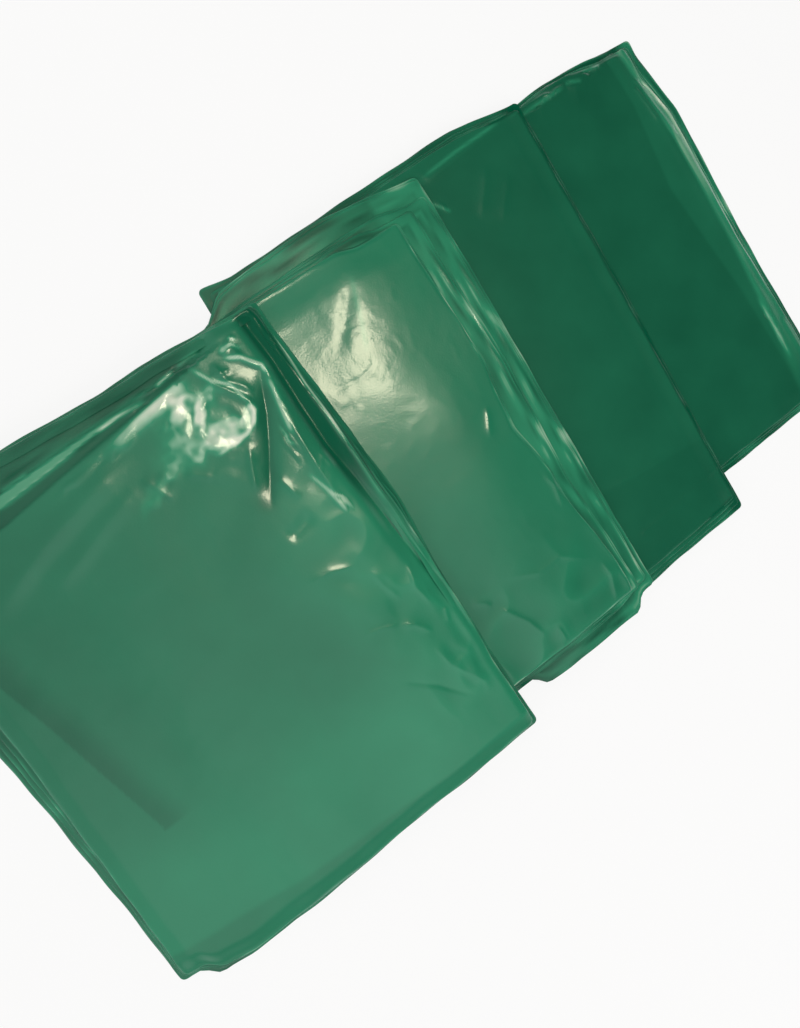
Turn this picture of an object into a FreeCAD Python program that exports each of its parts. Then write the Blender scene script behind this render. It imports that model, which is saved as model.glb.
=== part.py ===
import FreeCAD, Part
import math
import os

# Four large film bin bags, each folded flat, lying in a row with every bag's left part tucked
# under the next one. Millimetres. X runs along the row from the top bag to the bottom bag,
# Y across it and Z up from the table.

# Folded size of a bag: a 700 by 1100 sack folded in three across and in four along, with slips
BAG_WIDTH = 233.0
TOP_LENGTH = 284.0
SECOND_LENGTH = 270.0
THIRD_LENGTH = 286.0
BOTTOM_LENGTH = 259.0
THIRD_TUCK = 14.0

# Steps along the row from one bag's right edge to the next one's, and shifts across the row
SECOND_STEP = 111.0
THIRD_STEP = 82.0
BOTTOM_STEP = 102.0
SECOND_SHIFT = 0.5
THIRD_SHIFT = 17.0
BOTTOM_SHIFT = 13.5

# Thickness of each folded bag with the air left between its plies
TOP_THICK = 6.0
SECOND_THICK = 4.8
THIRD_THICK = 3.6
BOTTOM_THICK = 4.0
PLIES = 4
PLY_BITE = 0.3

# How a bag drapes over the edge of the one below
REST_GAP = 0.3
DRAPE_RUN = 48.0

# Softness of a ply's corners, and the spacing of the points that carry the film's relief
SOFT_CORNER = 7.0
PLAIN_TURN = 0.12
RELIEF_PITCH = 10.0
RELIEF_MARGIN = 6.0
RELIEF_ROOT = 0.7
FOLD_SPREAD = 13.0

# Height of the rolled fold's axis and half its height, as shares of the bag's thickness
ROLL_CENTRE = 0.6
ROLL_HALF_HEIGHT = 0.55

# Plan rectangles
TOP_LEFT = 0.0
TOP_HIGH = 0.0
TOP_RIGHT = TOP_LEFT + BAG_WIDTH
SECOND_RIGHT = TOP_RIGHT + SECOND_STEP
SECOND_LEFT = SECOND_RIGHT - BAG_WIDTH
THIRD_RIGHT = SECOND_RIGHT + THIRD_STEP
THIRD_LEFT = THIRD_RIGHT - BAG_WIDTH + THIRD_TUCK
BOTTOM_RIGHT = THIRD_RIGHT + BOTTOM_STEP
BOTTOM_LEFT = BOTTOM_RIGHT - BAG_WIDTH

# Each step up along the row: where it is complete and how high it is
STEP_ON_BOTTOM = (BOTTOM_LEFT, BOTTOM_THICK + REST_GAP)
STEP_ON_THIRD = (THIRD_LEFT, THIRD_THICK + REST_GAP)
STEP_ON_SECOND = (SECOND_LEFT, SECOND_THICK + REST_GAP)


def rise_radius(height):
    """Radius of the two equal arcs that climb one step over the drape run."""
    return (DRAPE_RUN ** 2 + height ** 2) / (4.0 * height)


def climb(x, edge, height):
    """Height of the film over one step at x, on the same two arcs as the profile."""
    start = edge - DRAPE_RUN
    radius = rise_radius(height)
    if x <= start:
        return 0.0
    if x >= edge:
        return height
    if x <= start + DRAPE_RUN / 2.0:
        return radius - math.sqrt(radius ** 2 - (x - start) ** 2)
    return height - radius + math.sqrt(radius ** 2 - (edge - x) ** 2)


def drape_height(x, steps):
    """Height of a bag's underside above the table at x."""
    return sum(climb(x, edge, height) for edge, height in steps)


def drape_edges(x0, x1, steps, lift):
    """Edges of the drape line from x0 to x1: flats joined by pairs of tangent arcs."""
    edges = []
    x, z = x0, lift
    for edge, height in steps:
        start = edge - DRAPE_RUN
        middle = start + DRAPE_RUN / 2.0
        radius = rise_radius(height)
        quarter = math.atan(height / DRAPE_RUN)
        first = FreeCAD.Vector(start, 0, z)
        crest = FreeCAD.Vector(middle, 0, z + height / 2.0)
        last = FreeCAD.Vector(edge, 0, z + height)
        across = radius * math.sin(quarter)
        rise = radius * (1.0 - math.cos(quarter))
        under = FreeCAD.Vector(start + across, 0, z + rise)
        over = FreeCAD.Vector(edge - across, 0, z + height - rise)
        edges.append(Part.makeLine(FreeCAD.Vector(x, 0, z), first))
        edges.append(Part.Arc(first, under, crest).toShape())
        edges.append(Part.Arc(crest, over, last).toShape())
        x, z = edge, z + height
    edges.append(Part.makeLine(FreeCAD.Vector(x, 0, z), FreeCAD.Vector(x1, 0, z)))
    return edges


def drape_band(box, steps, low_lift, high_lift):
    """A draped slab over a plan rectangle between two lifts above the drape line."""
    x0, x1, y0, y1 = box
    below = drape_edges(x0, x1, steps, low_lift)
    above = drape_edges(x0, x1, steps, high_lift)
    z0 = drape_height(x1, steps)
    right = Part.makeLine(FreeCAD.Vector(x1, 0, z0 + low_lift), FreeCAD.Vector(x1, 0, z0 + high_lift))
    left = Part.makeLine(FreeCAD.Vector(x0, 0, low_lift), FreeCAD.Vector(x0, 0, high_lift))
    wire = Part.Wire(Part.__sortEdges__(below + [right] + above + [left]))
    face = Part.Face(wire)
    face.translate(FreeCAD.Vector(0, y0, 0))
    return face.extrude(FreeCAD.Vector(0, y1 - y0, 0))


def outline(rect, lower, right, upper, left):
    """Corner points of a ply: each side is a list of (share of the side, bulge outwards)."""
    x0, x1, y0, y1 = rect
    width, length = x1 - x0, y1 - y0
    points = [(x0 + share * width, y0 - bulge) for share, bulge in lower]
    points += [(x1 + bulge, y0 + share * length) for share, bulge in right]
    points += [(x1 - share * width, y1 + bulge) for share, bulge in upper]
    points += [(x0 - bulge, y1 - share * length) for share, bulge in left]
    return [FreeCAD.Vector(x, y, 0) for x, y in points]


def soft_face(points, reach=SOFT_CORNER):
    """A plan face through the points, with each real corner eased by a short curve."""
    count = len(points)
    corners = []
    for i in range(count):
        here = points[i]
        back = points[i - 1] - here
        on = points[(i + 1) % count] - here
        ease = reach if math.pi - back.getAngle(on) > PLAIN_TURN else 0.0
        enter = here + back * min(ease / back.Length, 0.45)
        leave = here + on * min(ease / on.Length, 0.45)
        corners.append((enter, here, leave))
    edges = []
    for i in range(count):
        enter, here, leave = corners[i]
        if enter != leave:
            curve = Part.BezierCurve()
            curve.setPoles([enter, here, leave])
            edges.append(curve.toShape())
        edges.append(Part.makeLine(leave, corners[(i + 1) % count][0]))
    return Part.Face(Part.Wire(edges))


def column(points):
    """A tall prism over a ply's outline, to trim a slab with."""
    face = soft_face(points)
    face.translate(FreeCAD.Vector(0, 0, -5.0))
    return face.extrude(FreeCAD.Vector(0, 0, 60.0))


def grown(rect, margin):
    x0, x1, y0, y1 = rect
    return (x0 - margin, x1 + margin, y0 - margin, y1 + margin)


def flat_ply(rect, steps, thick, number, points):
    """One of the lower plies: the slab of its level trimmed to its own outline."""
    level = thick * number / PLIES
    bite = PLY_BITE if number else 0.0
    slab = drape_band(grown(rect, 30.0), steps, level - bite, thick * (number + 1) / PLIES)
    return slab.common(column(points))


def relief_ply(rect, steps, thick, points, relief):
    """The uppermost ply: its film follows the drape and a relief of creases and swells."""
    x0, x1, y0, y1 = grown(rect, RELIEF_MARGIN)
    columns = int(round((x1 - x0) / RELIEF_PITCH))
    rows = int(round((y1 - y0) / RELIEF_PITCH))
    grid = []
    for i in range(columns + 1):
        x = x0 + (x1 - x0) * i / columns
        base = drape_height(x, steps) + thick
        ys = [y0 + (y1 - y0) * j / rows for j in range(rows + 1)]
        grid.append([FreeCAD.Vector(x, y, base + relief(x, y)) for y in ys])
    film = Part.BSplineSurface()
    film.interpolate(grid)
    slab = film.toShape().extrude(FreeCAD.Vector(0, 0, -RELIEF_ROOT * thick))
    return slab.common(column(points))


def smooth(t):
    """Ease from 0 at t = 0 to 1 at t = 1."""
    t = max(0.0, min(1.0, t))
    return t * t * (3.0 - 2.0 * t)


def crease(x, y, start, end, half_width, height):
    """A rounded ridge along a line, dying out at both ends and to its sides."""
    dx, dy = end[0] - start[0], end[1] - start[1]
    length = math.hypot(dx, dy)
    along = ((x - start[0]) * dx + (y - start[1]) * dy) / length
    aside = abs((x - start[0]) * dy - (y - start[1]) * dx) / length
    ends = smooth(along / half_width + 0.5) * smooth((length - along) / half_width + 0.5)
    return height * ends * (1.0 - smooth(aside / half_width))


def swell(x, y, centre, reach_x, reach_y, height):
    """A low rounded swell where air is trapped under the film."""
    away = math.hypot((x - centre[0]) / reach_x, (y - centre[1]) / reach_y)
    return height * (1.0 - smooth(away))


def rolled_fold(stations, steps, thick):
    """A fold that has rolled over into a soft tube: ovals joined along the bag's edge."""
    ovals = []
    for x, y, half_width in stations:
        centre = FreeCAD.Vector(x, y, drape_height(x, steps) + ROLL_CENTRE * thick)
        height = ROLL_HALF_HEIGHT * thick
        if half_width >= height:
            oval = Part.Ellipse(centre + FreeCAD.Vector(half_width, 0, 0),
                                centre + FreeCAD.Vector(0, 0, height), centre)
        else:
            oval = Part.Ellipse(centre + FreeCAD.Vector(0, 0, height),
                                centre + FreeCAD.Vector(half_width, 0, 0), centre)
        ovals.append(Part.Wire(oval.toShape()))
    return Part.makeLoft(ovals, True, True)


def one_solid(pieces):
    """Fuse the plies of one bag into its single solid."""
    bag = pieces[0]
    for piece in pieces[1:]:
        bag = bag.fuse(piece)
    return bag.Solids[0] if len(bag.Solids) == 1 else bag


def plan(left, right, high, length):
    return (left, right, high - length, high)


def top_bag():
    """The uppermost bag: a rolled fold on its right, a fan of creases from its upper corner."""
    rect = plan(TOP_LEFT, TOP_RIGHT, TOP_HIGH, TOP_LENGTH)
    steps = [STEP_ON_SECOND, STEP_ON_THIRD]
    right, high, low = rect[1], rect[3], rect[2]
    whole = outline(
        rect,
        lower=[(0.01, -15.0), (0.08, -5.0), (0.17, 0.0), (0.52, -0.6), (0.92, 0.0), (0.98, 2.0)],
        right=[(0.18, -2.0), (0.39, -1.0), (0.55, 3.0), (0.77, 0.0), (0.94, -4.0)],
        upper=[(0.07, -3.0), (0.28, -0.7), (0.41, -1.5), (0.63, 0.6), (0.99, 2.5)],
        left=[(0.43, 0.0), (0.59, -2.0), (0.80, -1.4)],
    )
    second = outline(
        rect,
        lower=[(0.03, -9.0), (0.2, -2.5), (0.55, -2.2), (0.97, -1.5)],
        right=[(0.18, -4.0), (0.39, -3.0), (0.55, 0.8), (0.77, -2.5), (0.92, -6.0)],
        upper=[(0.12, -9.0), (0.25, -12.0), (0.37, -18.5), (0.5, -18.0), (0.68, -14.0), (0.98, -11.0)],
        left=[(0.45, -4.5), (0.8, -6.0)],
    )
    third = outline(
        rect,
        lower=[(0.05, -12.0), (0.22, -4.5), (0.96, -3.5)],
        right=[(0.18, -5.5), (0.32, -8.0), (0.48, -12.0), (0.63, -15.5), (0.77, -20.5), (0.93, -20.0)],
        upper=[(0.13, -15.0), (0.35, -22.5), (0.44, -27.0), (0.6, -28.0), (0.97, -26.0)],
        left=[(0.45, -9.0), (0.8, -9.5)],
    )
    uppermost = outline(
        rect,
        lower=[(0.07, -13.5), (0.24, -6.5), (0.95, -6.0)],
        right=[(0.18, -7.5), (0.32, -10.5), (0.48, -15.5), (0.63, -19.0), (0.77, -24.0), (0.91, -22.0)],
        upper=[(0.16, -20.0), (0.33, -26.0), (0.47, -31.0), (0.6, -33.0), (0.95, -37.0)],
        left=[(0.45, -15.0), (0.8, -13.5)],
    )
    corner = (right - 27.0, high - 21.0)
    fan = [(-7.0, -62.0, 0.8), (-26.0, -64.0, 0.7), (-54.0, -40.0, 0.8), (-80.0, -17.0, 0.6)]
    folds = [(-8.0, 68.0, -52.0, 88.0, 0.6), (-6.0, 36.0, -48.0, 52.0, 0.5)]

    def relief(x, y):
        height = swell(x, y, (right - 54.0, high - 50.0), 34.0, 30.0, 0.8)
        height += max(crease(x, y, corner, (corner[0] + dx, corner[1] + dy), FOLD_SPREAD, rise)
                      for dx, dy, rise in fan)
        height += max(crease(x, y, (right + x0, low + y0), (right + x1, low + y1), FOLD_SPREAD, rise)
                      for x0, y0, x1, y1, rise in folds)
        return height

    roll = rolled_fold(
        [
            (right - 13.0, high - 10.0, 6.0),
            (right - 12.7, high - 41.0, 6.3),
            (right - 10.0, high - 88.0, 6.0),
            (right - 7.5, high - 133.0, 4.6),
            (right - 6.0, high - 200.0, 2.0),
        ],
        steps,
        TOP_THICK,
    )
    return one_solid([
        flat_ply(rect, steps, TOP_THICK, 0, whole),
        flat_ply(rect, steps, TOP_THICK, 1, second),
        flat_ply(rect, steps, TOP_THICK, 2, third),
        relief_ply(rect, steps, TOP_THICK, uppermost, relief),
        roll,
    ])


def second_bag():
    """The second bag: its lowest ply stands out at both ends, its right edges fan out."""
    rect = plan(SECOND_LEFT, SECOND_RIGHT, TOP_HIGH + SECOND_SHIFT, SECOND_LENGTH)
    steps = [STEP_ON_THIRD, STEP_ON_BOTTOM]
    right, high = rect[1], rect[3]
    whole = outline(
        rect,
        lower=[(0.01, -2.0), (0.52, -2.0), (0.53, 5.0), (0.59, 5.5), (0.88, 6.0), (0.893, 0.3), (0.98, -5.0)],
        right=[(0.07, -3.0), (0.45, -1.5), (0.72, 0.0)],
        upper=[(0.0, 7.5), (0.05, 9.0), (0.16, 12.5), (0.28, 14.5), (0.47, 12.0), (0.55, 9.5), (0.61, -2.0),
               (0.99, -3.5)],
        left=[(0.5, 0.8)],
    )
    second = outline(
        rect,
        lower=[(0.02, -4.0), (0.55, -3.5), (0.89, -3.0), (0.97, -7.5)],
        right=[(0.08, -6.5), (0.45, -3.5), (0.72, -2.0), (0.95, -2.0)],
        upper=[(0.06, -3.5), (0.13, 0.5), (0.51, -1.0), (0.98, -2.0)],
        left=[(0.5, -3.0)],
    )
    third = outline(
        rect,
        lower=[(0.03, -6.0), (0.55, -5.0), (0.93, -6.5)],
        right=[(0.05, -14.0), (0.32, -17.0), (0.62, -12.0), (0.9, -14.0)],
        upper=[(0.1, -6.0), (0.16, -2.0), (0.51, -2.5), (0.97, -4.0)],
        left=[(0.5, -6.0)],
    )
    uppermost = outline(
        rect,
        lower=[(0.04, -8.0), (0.55, -7.0), (0.9, -8.0)],
        right=[(0.1, -19.0), (0.29, -25.5), (0.36, -24.5), (0.49, -31.0), (0.66, -25.0), (0.91, -26.0)],
        upper=[(0.14, -8.0), (0.2, -4.5), (0.51, -4.5), (0.96, -6.0)],
        left=[(0.5, -9.0)],
    )

    def relief(x, y):
        height = swell(x, y, (right - 66.0, high - 42.0), 42.0, 50.0, 0.8)
        height += crease(x, y, (right - 65.0, high - 18.0), (right - 80.0, high - 64.0), FOLD_SPREAD, 0.7)
        height += crease(x, y, (right - 84.0, high - 34.0), (right - 94.0, high - 50.0), FOLD_SPREAD, 0.5)
        height += crease(x, y, (right - 36.0, high - 238.0), (right - 66.0, high - 226.0), FOLD_SPREAD, 0.5)
        return height

    return one_solid([
        flat_ply(rect, steps, SECOND_THICK, 0, whole),
        flat_ply(rect, steps, SECOND_THICK, 1, second),
        flat_ply(rect, steps, SECOND_THICK, 2, third),
        relief_ply(rect, steps, SECOND_THICK, uppermost, relief),
    ])


def third_bag():
    """The third bag: folded a little narrower and flatter, its upper left corner shows."""
    rect = plan(THIRD_LEFT, THIRD_RIGHT, TOP_HIGH + THIRD_SHIFT, THIRD_LENGTH)
    steps = [STEP_ON_BOTTOM]
    right, high = rect[1], rect[3]
    whole = outline(
        rect,
        lower=[(0.01, -5.0), (0.6, 1.0), (0.74, -0.8), (0.98, 0.0)],
        right=[(0.08, -1.3), (0.56, 0.3), (0.96, -0.8)],
        upper=[(0.03, -1.7), (0.09, 0.0), (0.22, 3.2), (0.61, 0.0), (0.91, -2.5), (0.98, 0.0)],
        left=[(0.012, -0.4), (0.06, 0.0), (0.14, -7.0), (0.87, -5.0)],
    )
    second = outline(
        rect,
        lower=[(0.04, -8.0), (0.6, -1.5), (0.96, -3.0)],
        right=[(0.1, -3.0), (0.56, -1.5), (0.94, -2.5)],
        upper=[(0.05, -3.5), (0.22, 0.5), (0.61, -2.5), (0.94, -4.5)],
        left=[(0.1, -5.0), (0.87, -8.0)],
    )
    third = outline(
        rect,
        lower=[(0.05, -11.0), (0.6, -4.5), (0.95, -6.0)],
        right=[(0.1, -4.5), (0.56, -3.0), (0.93, -4.0)],
        upper=[(0.06, -6.0), (0.22, -2.5), (0.61, -5.5), (0.9, -8.0)],
        left=[(0.12, -9.0), (0.87, -11.0)],
    )
    uppermost = outline(
        rect,
        lower=[(0.06, -14.0), (0.6, -8.0), (0.94, -9.0)],
        right=[(0.1, -6.5), (0.56, -5.0), (0.92, -6.0)],
        upper=[(0.07, -9.0), (0.22, -6.0), (0.61, -9.0), (0.88, -12.0)],
        left=[(0.14, -13.0), (0.87, -14.0)],
    )

    def relief(x, y):
        height = swell(x, y, (right - 40.0, high - 50.0), 36.0, 50.0, 0.5)
        height += crease(x, y, (right - 14.0, high - 12.0), (right - 62.0, high - 20.0), FOLD_SPREAD, 0.4)
        return height

    return one_solid([
        flat_ply(rect, steps, THIRD_THICK, 0, whole),
        flat_ply(rect, steps, THIRD_THICK, 1, second),
        flat_ply(rect, steps, THIRD_THICK, 2, third),
        relief_ply(rect, steps, THIRD_THICK, uppermost, relief),
    ])


def bottom_bag():
    """The bottom bag: flat on the table, with a gathered upper edge and a slanting right fold."""
    rect = plan(BOTTOM_LEFT, BOTTOM_RIGHT, TOP_HIGH + BOTTOM_SHIFT, BOTTOM_LENGTH)
    steps = []
    right, high = rect[1], rect[3]
    whole = outline(
        rect,
        lower=[(0.01, -1.5), (0.5, 0.0), (0.99, 0.0)],
        right=[(0.18, -1.0), (0.47, -5.5), (0.81, -6.0), (0.96, -16.0)],
        upper=[(0.08, -4.0), (0.17, 0.0), (0.3, 1.0), (0.44, -0.7), (0.62, 0.5), (0.98, -1.5)],
        left=[(0.5, 0.6)],
    )
    second = outline(
        rect,
        lower=[(0.02, -4.0), (0.5, -2.0), (0.98, -2.0)],
        right=[(0.18, -3.0), (0.47, -9.0), (0.81, -10.5), (0.94, -20.0)],
        upper=[(0.1, -6.0), (0.17, -2.5), (0.3, -1.5), (0.44, -4.5), (0.62, -2.5), (0.97, -4.0)],
        left=[(0.5, -3.0)],
    )
    third = outline(
        rect,
        lower=[(0.03, -6.0), (0.5, -4.0), (0.97, -3.5)],
        right=[(0.18, -6.5), (0.47, -16.0), (0.81, -19.0), (0.92, -25.0)],
        upper=[(0.12, -9.0), (0.2, -5.5), (0.3, -4.5), (0.44, -8.0), (0.62, -6.0), (0.96, -7.0)],
        left=[(0.5, -6.0)],
    )
    uppermost = outline(
        rect,
        lower=[(0.04, -8.0), (0.5, -6.0), (0.93, -5.5)],
        right=[(0.1, -17.0), (0.53, -29.0), (0.76, -34.0), (0.9, -35.0)],
        upper=[(0.16, -13.0), (0.22, -8.5), (0.3, -8.0), (0.44, -12.0), (0.62, -10.0), (0.95, -11.0)],
        left=[(0.5, -9.0)],
    )

    def relief(x, y):
        height = crease(x, y, (right - 46.0, high - 13.0), (right - 92.0, high - 12.0), FOLD_SPREAD, 0.7)
        height += crease(x, y, (right - 36.0, high - 22.0), (right - 62.0, high - 36.0), FOLD_SPREAD, 0.6)
        height += swell(x, y, (right - 62.0, high - 110.0), 36.0, 90.0, 0.5)
        return height

    return one_solid([
        flat_ply(rect, steps, BOTTOM_THICK, 0, whole),
        flat_ply(rect, steps, BOTTOM_THICK, 1, second),
        flat_ply(rect, steps, BOTTOM_THICK, 2, third),
        relief_ply(rect, steps, BOTTOM_THICK, uppermost, relief),
    ])


def centred(bags):
    """Move the pack so that the middle of its underside is the origin."""
    bounds = Part.makeCompound(list(bags.values())).optimalBoundingBox()
    shift = FreeCAD.Vector(-bounds.Center.x, -bounds.Center.y, 0.0)
    for bag in bags.values():
        bag.translate(shift)
    return bags


def main():
    bags = centred({
        "top_bag": top_bag(),
        "second_bag": second_bag(),
        "third_bag": third_bag(),
        "bottom_bag": bottom_bag(),
    })
    os.makedirs("parts", exist_ok=True)
    for name, bag in bags.items():
        print(name, "solids", len(bag.Solids), "valid", bag.isValid(), "volume", round(bag.Volume))
        bag.exportStep("parts/" + name + ".step")


main()
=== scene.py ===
# %% [markdown]
# # Folded bin bags
# Large green refuse sacks, each folded flat, lie in an overlapping row. On the real thing every bag
# is a tube of thin polyethylene film, so what the eye sees is a stack of soft film folds with
# rounded edges, and a glossy upper face with creases that catch the lamp. This lesson builds each
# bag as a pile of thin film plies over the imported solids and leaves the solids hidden.

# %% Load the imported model
import math
import bpy
import numpy as np
from mathutils import Matrix, Vector


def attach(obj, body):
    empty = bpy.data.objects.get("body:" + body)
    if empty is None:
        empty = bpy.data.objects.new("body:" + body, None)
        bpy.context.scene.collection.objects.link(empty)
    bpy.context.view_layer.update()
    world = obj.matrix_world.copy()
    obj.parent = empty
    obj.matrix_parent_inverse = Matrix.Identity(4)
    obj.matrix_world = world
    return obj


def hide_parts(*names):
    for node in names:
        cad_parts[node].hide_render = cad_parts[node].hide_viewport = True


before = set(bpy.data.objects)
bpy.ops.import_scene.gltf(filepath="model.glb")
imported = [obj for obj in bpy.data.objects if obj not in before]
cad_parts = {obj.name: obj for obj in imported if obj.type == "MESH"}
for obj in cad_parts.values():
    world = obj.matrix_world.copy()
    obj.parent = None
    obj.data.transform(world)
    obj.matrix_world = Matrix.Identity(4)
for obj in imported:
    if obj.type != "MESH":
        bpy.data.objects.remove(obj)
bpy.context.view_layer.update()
MM = 0.001
print("packed nodes", sorted(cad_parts))

# %% [markdown]
# ## The camera
# The straight edges of the real bags all agree with one camera held above the left half of the
# row and tipped a little from straight down. It is set first, so that every later step can be
# compared with the photograph.

# %% Camera
CAMERA_PLACE = Vector((-0.1372, 0.0756, 0.430))
CAMERA_HEADING, CAMERA_TILT, CAMERA_ROLL = (math.radians(a) for a in (-128.44, 17.55, 93.61))
WARM_LAMP = Vector((0.165, 0.075, 1.0))  # known this early because the film's glints are aimed at it
SENSOR_LONG_SIDE = 36.0
LENS = 28.02

camera = bpy.data.objects.new("camera", bpy.data.cameras.new("camera"))
camera.data.sensor_width = SENSOR_LONG_SIDE
camera.data.lens = LENS
camera.data.clip_start = 0.01
turned = Matrix.Rotation(CAMERA_HEADING, 4, "Z") @ Matrix.Rotation(CAMERA_TILT, 4, "X")
camera.matrix_world = Matrix.Translation(CAMERA_PLACE) @ turned @ Matrix.Rotation(CAMERA_ROLL, 4, "Z")
bpy.context.scene.collection.objects.link(camera)
bpy.context.scene.camera = camera
bpy.context.scene.view_settings.view_transform = "Standard"
print("camera at", tuple(round(v, 3) for v in camera.location))

# %% [markdown]
# ## The lie of the row
# Each bag is about 233 mm wide once folded. The next bag sits under its right part, so a bag
# climbs a small step wherever a lower one begins. The step is two equal arcs, the same as in the
# solids, and the film rides on it.

# %% Plan and thickness of each bag, in millimetres
ORDER = ["top_bag", "second_bag", "third_bag", "bottom_bag"]
RECT = {
    # left, right, low, high
    "top_bag": (-263.5, -30.5, -151.6, 132.4),
    "second_bag": (-152.5, 80.5, -137.1, 132.9),
    "third_bag": (-56.5, 162.5, -136.6, 149.4),
    "bottom_bag": (31.5, 264.5, -113.1, 145.9),
}
THICK = {"top_bag": 6.0, "second_bag": 4.8, "third_bag": 3.6, "bottom_bag": 4.0}
REST_GAP = 0.3
DRAPE_RUN = 84.0


def steps_under(bag):
    """Where the bags below this one begin, and how much each lifts it."""
    below = ORDER[ORDER.index(bag) + 1:]
    return [(RECT[name][0], THICK[name] + REST_GAP) for name in below]


def climb(x, edge, height):
    """Rise of the film over one step: two equal arcs over the drape run."""
    radius = (DRAPE_RUN ** 2 + height ** 2) / (4.0 * height)
    along = np.clip(x - (edge - DRAPE_RUN), 0.0, DRAPE_RUN)
    first = radius - np.sqrt(radius ** 2 - np.minimum(along, DRAPE_RUN / 2.0) ** 2)
    rest = np.minimum(DRAPE_RUN - along, DRAPE_RUN / 2.0)
    last = height - radius + np.sqrt(radius ** 2 - rest ** 2)
    return np.where(along < DRAPE_RUN / 2.0, first, last)


def drape(x, bag):
    return sum((climb(x, edge, height) for edge, height in steps_under(bag)[:2]), np.zeros_like(x))


print({name: tuple(round(v, 1) for v in rect) for name, rect in RECT.items()})

# %% [markdown]
# ## Lines on the film
# Film doesn't wave like cloth: it stays nearly flat and then breaks along thin lines. Cloth
# simulation would give round waves, so the relief is a height field instead, drawn from bent lines
# laid along those on the real bags. First comes the distance of every point from such a line.

# %% Distance from a bent line
def smooth(t):
    t = np.clip(t, 0.0, 1.0)
    return t * t * (3.0 - 2.0 * t)


def path_distance(x, y, points):
    """Distance from a bent line, the side of it (+1 left, -1 right) and the share along it."""
    best = np.full(x.shape, 1e9)
    side = np.ones(x.shape)
    along = np.zeros(x.shape)
    spans = [math.dist(a, b) for a, b in zip(points, points[1:])]
    total, done = sum(spans), 0.0
    for (x0, y0), (x1, y1), span in zip(points, points[1:], spans):
        dx, dy = x1 - x0, y1 - y0
        t = np.clip(((x - x0) * dx + (y - y0) * dy) / span ** 2, 0.0, 1.0)
        distance = np.hypot(x - x0 - t * dx, y - y0 - t * dy)
        closer = distance < best
        best = np.where(closer, distance, best)
        side = np.where(closer, np.sign(dx * (y - y0) - dy * (x - x0)), side)
        along = np.where(closer, (done + t * span) / total, along)
        done += span
    return best, side, along


print("distance helpers ready")

# %% [markdown]
# ## Trapped air
# Air caught between the plies lifts the film in slow waves. Where it was squeezed out again, the
# waves have folded into facets parted by sharp lines. Both come from a lattice of seeded heights.

# %% Slow waves and facets
def rumple(x, y, cell, seed):
    """Slow random waves between 0 and 1, from a lattice of seeded heights."""
    lattice = np.random.default_rng(seed).random((256, 256))
    gx, gy = x / cell + 64.0, y / cell + 64.0
    ix, iy = np.floor(gx).astype(int), np.floor(gy).astype(int)
    fx, fy = smooth(gx - ix), smooth(gy - iy)
    ix, iy = ix % 255, iy % 255
    low = lattice[ix, iy] * (1 - fx) + lattice[ix + 1, iy] * fx
    high = lattice[ix, iy + 1] * (1 - fx) + lattice[ix + 1, iy + 1] * fx
    return low * (1 - fy) + high * fy


def air(x, y, cell, seed):
    """The slow waves about zero."""
    return rumple(x, y, cell, seed) - 0.5


def crumple(x, y, cell, seed):
    """Facets parted by sharp lines: slow waves folded about their middle."""
    warp = cell * 0.6
    wx = x + warp * air(x, y, cell * 1.7, seed + 1)
    wy = y + warp * air(x, y, cell * 1.7, seed + 2)
    return 1.0 - np.abs(2.0 * rumple(wx, wy, cell, seed) - 1.0)


def panes(x, y, cell, seed):
    """The facets about zero."""
    return crumple(x, y, cell, seed) - 0.5


def hill(x, y, centre, spread):
    """Weight of a soft round patch: 1 at its centre, fading over its spread."""
    return np.exp(-(((x - centre[0]) / spread[0]) ** 2 + ((y - centre[1]) / spread[1]) ** 2))


print("wave helpers ready")

# %% [markdown]
# ## Creases, swells and steps
# A crease has a height and a width, and one flank is steeper than the other where the film has
# folded over. A swell is a soft roll of air. A step is the end of a fold that lies underneath.

# %% Creases, swells and steps
CREST_ROUND = 0.35  # a crest is rounded over about this many millimetres


def crease(x, y, points, height, width, lean=0.0, taper=0.3):
    """A sharp fold line: film falls away on both sides, faster on the side it leans to."""
    distance, side, along = path_distance(x, y, points)
    reach = width * (1.0 + lean * side)
    fall = np.exp(-(np.hypot(distance, CREST_ROUND) - CREST_ROUND) / reach)
    ends = 1.0
    if taper:
        ends = smooth(along / taper) * smooth((1.0 - along) / taper)
    return height * fall * ends


def swell(x, y, points, height, width, taper=0.3):
    """A soft roll of trapped air along a line."""
    distance, _, along = path_distance(x, y, points)
    ends = smooth(along / taper) * smooth((1.0 - along) / taper)
    return height * np.exp(-(distance / width) ** 2) * ends


def step(x, y, points, drop, width):
    """The edge of a fold under the film: level on the right of the line, lower on its left."""
    distance, side, _ = path_distance(x, y, points)
    return -drop * smooth(distance * side / width + 0.5)


def drawn(x, y, creases, swells=(), taper=0.3):
    """The sum of the listed creases and swells."""
    lift = np.zeros_like(x)
    for points, height, width, lean in creases:
        lift += crease(x, y, points, height, width, lean, taper)
    for points, height, width in swells:
        lift += swell(x, y, points, height, width)
    return lift


print("crease helpers ready")

# %% [markdown]
# ## Flat spots
# The bright glints on real film are small flat panes, tilted by chance so that they mirror a lamp.
# Here each pane is laid flat and aimed instead: it faces halfway between the camera and the warm
# lamp, less the slope of the whole bag at that place.

# %% Flat spots
def spot(x, y, centre, size, angle):
    """Weight of a soft-edged oval."""
    turn = math.radians(angle)
    dx, dy = x - centre[0], y - centre[1]
    u = (dx * math.cos(turn) + dy * math.sin(turn)) / size[0]
    v = (dy * math.cos(turn) - dx * math.sin(turn)) / size[1]
    return np.exp(-(u * u + v * v) ** 2)


SPOT_WANDER = 3.0  # millimetres by which a spot's outline wanders
SPOT_HEIGHT = 0.015  # metres above the table, near enough for aiming
MOST_TILT = 1.5  # millimetres of lift at most
FLATTEN = 0.85  # share of the other relief that a spot takes out


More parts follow.
